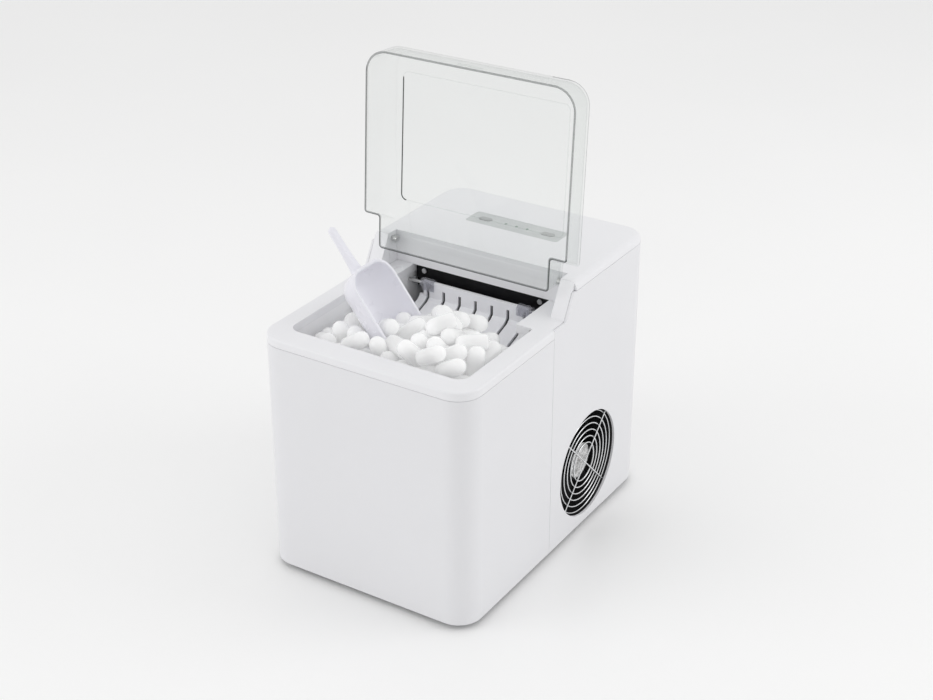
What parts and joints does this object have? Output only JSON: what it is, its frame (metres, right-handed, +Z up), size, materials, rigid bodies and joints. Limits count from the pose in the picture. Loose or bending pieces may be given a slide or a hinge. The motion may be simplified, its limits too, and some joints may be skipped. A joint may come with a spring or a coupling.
{
  "type": "ice maker",
  "caption": "Countertop ice maker with a clear hinged lid, lift-out ice basket and scoop, finger evaporator, tipping water tray and fan-cooled compressor.",
  "frame": {"origin": "on the floor under the middle of the cabinet's footprint", "axes": "+Z up, +Y to the back, +X to the right when seen from the front"},
  "size_m": [0.242, 0.358, 0.5013],
  "materials": {
    "white_shell": "satin moulded ABS",
    "white_inner": "smooth moulded ABS",
    "base_steel": "zinc-coated sheet",
    "foot_rubber": "matt",
    "clear_lid": "clear moulded polycarbonate",
    "steel_pin": "polished",
    "panel_grey": "fine texture",
    "button_dark": "fine texture",
    "lens": "translucent",
    "board_green": "solder mask",
    "foam": "expanded bead foam",
    "basket_white": "smooth moulded",
    "scoop_white": "translucent polypropylene",
    "nickel": "nickel plate",
    "cover_black": "moulded",
    "screw_steel": "zinc plate",
    "tray_clear": "translucent",
    "arm_clear": "translucent",
    "motor_steel": "plain",
    "black_plastic": "moulded",
    "hose": "silicone",
    "compressor_black": "semi-gloss",
    "fin_aluminium": "thin fins",
    "shroud_grey": "moulded",
    "fan_grey": "moulded",
    "guard_chrome": "bright plated wire",
    "copper": "bare copper",
    "brass_valve": "plain",
    "grey_plastic": "moulded"
  },
  "bodies": {
    "cabinet": {"base_plate": "base_steel", "feet": "foot_rubber", "front_housing": "white_shell", "rear_housing": "white_shell", "top_cover": "white_shell", "control_cover": "white_shell", "control_panel": "panel_grey", "indicator_lenses": "lens", "control_board": "board_green", "power_board": "board_green", "insulation_foam": "foam", "inner_tank": "white_inner", "ice_sensors": "black_plastic", "evaporator": "nickel", "evaporator_cover": "cover_black", "cover_screws": "screw_steel", "tray_motor": "motor_steel", "end_switches": "black_plastic", "water_pump": "black_plastic", "pump_hose": "hose", "compressor": "compressor_black", "compressor_grommets": "foot_rubber", "condenser": "fin_aluminium", "fan_shroud": "shroud_grey", "fan_motor": "black_plastic", "fan_guard": "guard_chrome", "refrigerant_pipes": "copper", "filter_drier": "copper", "gas_valve": "brass_valve", "drain_spout": "white_inner", "cord_gland": "grey_plastic", "housing_screws": "screw_steel", "base_screws": "screw_steel"},
    "lid": {"lid": "clear_lid", "lid_hinge_pins": "steel_pin"},
    "basket": {"ice_basket": "basket_white"},
    "scoop": {"ice_scoop": "scoop_white"},
    "tray": {"water_tray": "tray_clear", "tray_shaft": "white_inner"},
    "pusher": {"ice_pusher": "white_inner", "pusher_arms": "arm_clear", "pusher_pins": "steel_pin"},
    "fan": {"fan_blade": "fan_grey"},
    "power_button": {"power_button": "button_dark"},
    "select_button": {"select_button": "button_dark"},
    "drain_cap": {"drain_cap": "grey_plastic"}
  },
  "joints": [
    {"name": "lid_hinge", "type": "hinge", "parent": "cabinet", "child": "lid", "pos_m": [0, 0.0291, 0.293], "axis": [1, 0, 0], "range_deg": [0, 93.5]},
    {"name": "basket_lift", "type": "slide", "parent": "cabinet", "child": "basket", "axis": [0, 0, -1], "range_m": [-0.16, 0]},
    {"name": "scoop_lift", "type": "slide", "parent": "basket", "child": "scoop", "axis": [-0.2, -0.5, 0.8426], "range_m": [0, 0.41]},
    {"name": "tray_tip", "type": "hinge", "parent": "cabinet", "child": "tray", "pos_m": [0, 0.078, 0.236], "axis": [1, 0, 0], "range_deg": [0, 75]},
    {"name": "pusher_swing", "type": "hinge", "parent": "cabinet", "child": "pusher", "pos_m": [0, 0.031, 0.25], "axis": [1, 0, 0], "range_deg": [0, 40]},
    {"name": "fan_spin", "type": "hinge", "parent": "cabinet", "child": "fan", "pos_m": [0.098, 0.06, 0.075], "axis": [1, 0, 0], "continuous": true},
    {"name": "power_press", "type": "slide", "parent": "cabinet", "child": "power_button", "axis": [0, 0, -1], "range_m": [0, 0.001], "stiffness_N_per_m": 400},
    {"name": "select_press", "type": "slide", "parent": "cabinet", "child": "select_button", "axis": [0, 0, -1], "range_m": [0, 0.001], "stiffness_N_per_m": 400},
    {"name": "drain_cap_pull", "type": "slide", "parent": "cabinet", "child": "drain_cap", "axis": [-1, 0, 0], "range_m": [0, 0.03]}
  ],
  "couplings": [
    {"joint": "pusher_swing", "follows": "tray_tip", "ratio": 0.53333},
    {"joint": "scoop_lift", "follows": "lid_hinge", "m_per_rad": 0.25}
  ]
}
